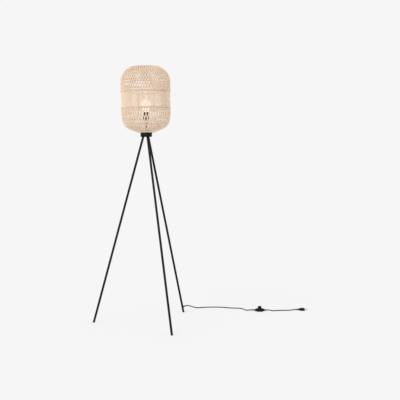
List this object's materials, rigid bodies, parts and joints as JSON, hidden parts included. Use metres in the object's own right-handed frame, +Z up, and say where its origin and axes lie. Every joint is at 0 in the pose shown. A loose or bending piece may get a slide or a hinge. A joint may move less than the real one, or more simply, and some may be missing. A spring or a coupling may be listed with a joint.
{
  "type": "rattan floor lamp",
  "caption": "Floor lamp with a barrel-shaped woven rattan shade on slim splayed dark steel legs, a screw-in bulb, and a floor cord with a foot switch and plug.",
  "frame": {"origin": "on the floor, in the middle of the box round the three feet; the lamp's own axis stands 84.3 mm from it along +X, because the single leg on the left reaches further than the pair on the right", "axes": "+Z up along the lamp's axis; +X away from the left leg, towards the cord's end; +Y to the back, towards the leg that the cord leaves"},
  "size_m": [1.2897, 0.7327, 1.5],
  "materials": {
    "black_steel": "satin black powder coat",
    "black_plastic": "fine-textured matt black plastic",
    "black_rubber": "matt black rubber",
    "cord_black": "smooth black cable sheath",
    "zinc_steel": "bright zinc plate",
    "brass": "plain brass",
    "nickel": "nickel plate",
    "aluminium": "cast aluminium",
    "rattan": "natural peeled rattan cane, lightly varnished",
    "rattan_binding": "natural rattan binding strip, wound",
    "opal_glass": "opal white, frosted, warm glow",
    "brown_wire": "brown wire insulation",
    "blue_wire": "blue wire insulation"
  },
  "bodies": {
    "stand": {"leg_tube_left": "black_steel", "leg_tube_front": "black_steel", "leg_tube_back": "black_steel", "leg_nipple_left": "zinc_steel", "leg_nipple_front": "zinc_steel", "leg_nipple_back": "zinc_steel", "foot_cap_left": "black_rubber", "foot_cap_front": "black_rubber", "foot_cap_back": "black_rubber", "cord_gland": "black_rubber", "cable_in_leg": "cord_black", "hub_body": "black_steel", "hub_lid": "black_steel", "lid_screw_1": "zinc_steel", "lid_screw_2": "zinc_steel", "lid_screw_3": "zinc_steel", "threaded_rod": "zinc_steel", "rod_nut": "zinc_steel", "stem_tube": "black_steel", "wire_live": "brown_wire", "wire_neutral": "blue_wire", "woven_wall": "rattan", "top_rim": "rattan_binding", "upper_hoop": "rattan_binding", "lower_hoop": "rattan_binding", "bottom_ring": "rattan_binding", "shade_fitter": "black_steel", "holder_cap": "black_plastic", "holder_sleeve": "black_plastic", "holder_insert": "black_plastic", "screw_shell": "nickel", "centre_contact": "brass", "side_contact": "brass", "terminal_live": "brass", "terminal_neutral": "brass", "cord_leg_to_switch": "cord_black", "switch_base": "black_plastic", "switch_cover": "black_plastic", "switch_spring": "zinc_steel", "switch_block": "black_plastic", "switch_contact_in": "brass", "switch_contact_out": "brass", "switch_relief_in": "black_rubber", "switch_relief_out": "black_rubber", "switch_lead_in": "cord_black", "switch_lead_out": "cord_black", "switch_screw_1": "zinc_steel", "switch_screw_2": "zinc_steel", "cord_switch_to_plug": "cord_black", "plug_body": "black_plastic", "plug_pin_1": "nickel", "plug_pin_2": "nickel"},
    "button": {"switch_button": "black_plastic"},
    "bulb_carrier": {"bulb_tip": "nickel"},
    "bulb": {"bulb_insulator": "black_plastic", "bulb_cap": "nickel", "bulb_led_module": "aluminium", "bulb_glass": "opal_glass"}
  },
  "joints": [
    {"name": "button_press", "type": "slide", "parent": "stand", "child": "button", "axis": [0, 0, -1], "range_m": [0, 0.0035], "stiffness_N_per_m": 1200, "springref_m": -0.004, "deforming": ["switch_spring"]},
    {"name": "bulb_lift", "type": "slide", "parent": "stand", "child": "bulb_carrier", "axis": [0, 0, 1], "range_m": [0, 0.0128]},
    {"name": "bulb_turn", "type": "hinge", "parent": "bulb_carrier", "child": "bulb", "pos_m": [0.08434, 0, 1.22], "axis": [0, 0, 1], "range_deg": [0, 1260]}
  ],
  "couplings": [
    {"joint": "bulb_lift", "follows": "bulb_turn", "m_per_rad": 0.00057757}
  ]
}
